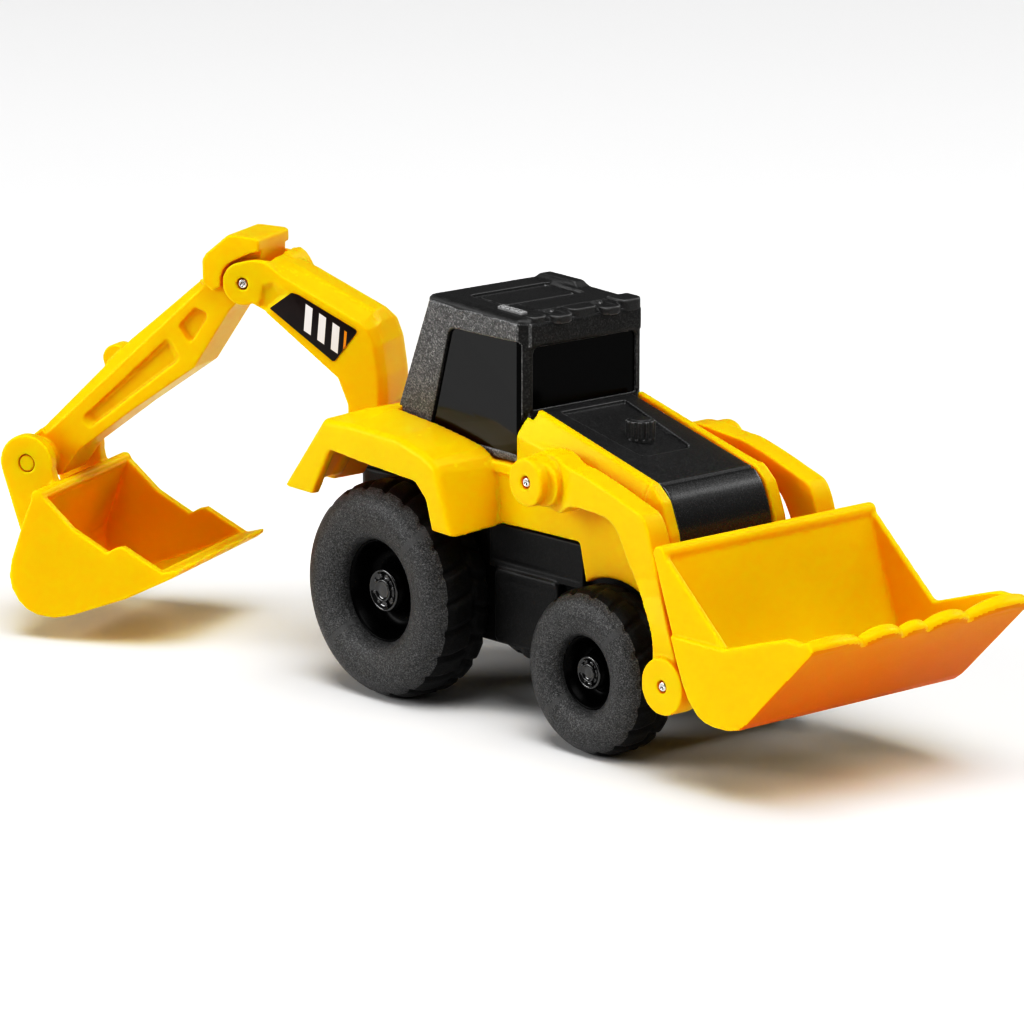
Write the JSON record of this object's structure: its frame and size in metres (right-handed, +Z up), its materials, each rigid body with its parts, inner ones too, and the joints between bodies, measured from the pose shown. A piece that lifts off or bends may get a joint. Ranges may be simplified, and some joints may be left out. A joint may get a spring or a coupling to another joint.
{
  "type": "toy backhoe loader",
  "caption": "Toy backhoe loader: moulded body and cab on plastic wheels, a front loader bucket on two lifting arms, and a swinging rear boom with stick and digging bucket.",
  "frame": {"origin": "bottom centre of the bounding box in the stored pose, on the ground plane under the tyres", "axes": "+X forward toward the loader bucket, +Y toward the vehicle's left side, +Z up; the vehicle's own centre plane is at Y = 0.007793"},
  "size_m": [0.1596, 0.055, 0.0586],
  "materials": {
    "yellow_plastic": "moulded, semi-gloss, slightly translucent",
    "black_plastic": "fine spark-eroded grain",
    "gloss_black_plastic": "polished",
    "tyre_black": "grainy matte",
    "steel": "drawn wire and plated screws",
    "label": "printed film"
  },
  "bodies": {
    "vehicle": {"chassis_base": "black_plastic", "body_shell": "yellow_plastic", "cab_frame": "black_plastic", "cab_glazing": "gloss_black_plastic", "cab_roof": "black_plastic", "hood_insert": "black_plastic", "exhaust_stub": "black_plastic", "screw_rear": "steel", "screw_mid": "steel", "screw_front": "steel", "arm_pin_left": "steel", "arm_pin_right": "steel", "swing_pin": "steel"},
    "rear_wheels": {"axle_rear": "steel", "rim_rear_left": "gloss_black_plastic", "rim_rear_right": "gloss_black_plastic", "tyre_rear_left": "tyre_black", "tyre_rear_right": "tyre_black"},
    "front_wheels": {"axle_front": "steel", "rim_front_left": "gloss_black_plastic", "rim_front_right": "gloss_black_plastic", "tyre_front_left": "tyre_black", "tyre_front_right": "tyre_black"},
    "loader_arms": {"loader_arm_left": "yellow_plastic", "loader_arm_right": "yellow_plastic", "loader_cross_tube": "yellow_plastic", "bucket_pin_left": "steel", "bucket_pin_right": "steel"},
    "front_bucket": {"loader_bucket": "yellow_plastic"},
    "swing": {"swing_post": "black_plastic", "boom_pin": "steel"},
    "boom_arm": {"boom": "yellow_plastic", "boom_label_left": "label", "boom_label_right": "label"},
    "stick_arm": {"stick": "yellow_plastic", "stick_pin": "steel"},
    "rear_bucket": {"digging_bucket": "yellow_plastic"}
  },
  "joints": [
    {"name": "rear_axle_spin", "type": "hinge", "parent": "vehicle", "child": "rear_wheels", "pos_m": [-0.00619, 0.00779, 0.015], "axis": [0, 1, 0], "continuous": true},
    {"name": "front_axle_spin", "type": "hinge", "parent": "vehicle", "child": "front_wheels", "pos_m": [0.03421, 0.00779, 0.0112], "axis": [0, 1, 0], "continuous": true},
    {"name": "loader_lift", "type": "hinge", "parent": "vehicle", "child": "loader_arms", "pos_m": [0.02456, 0.00779, 0.0355], "axis": [0, 1, 0], "range_deg": [-55, 5]},
    {"name": "loader_tip", "type": "hinge", "parent": "loader_arms", "child": "front_bucket", "pos_m": [0.05201, 0.00779, 0.0134], "axis": [0, 1, 0], "range_deg": [0, 75]},
    {"name": "boom_swing", "type": "hinge", "parent": "vehicle", "child": "swing", "pos_m": [-0.02469, 0.00779, 0.027], "axis": [0, 0, 1], "range_deg": [-105, 54]},
    {"name": "boom_lift", "type": "hinge", "parent": "swing", "child": "boom_arm", "pos_m": [-0.02559, 0.00737, 0.0312], "axis": [0.4274, -0.9041, 0], "range_deg": [-30, 35]},
    {"name": "stick_pivot", "type": "hinge", "parent": "boom_arm", "child": "stick_arm", "pos_m": [-0.04295, -0.00084, 0.0519], "axis": [-0.4274, 0.9041, 0], "range_deg": [-25, 12]},
    {"name": "rear_bucket_tip", "type": "hinge", "parent": "stick_arm", "child": "rear_bucket", "pos_m": [-0.07251, -0.01481, 0.0241], "axis": [0.4274, -0.9041, 0], "range_deg": [-90, 25]}
  ]
}
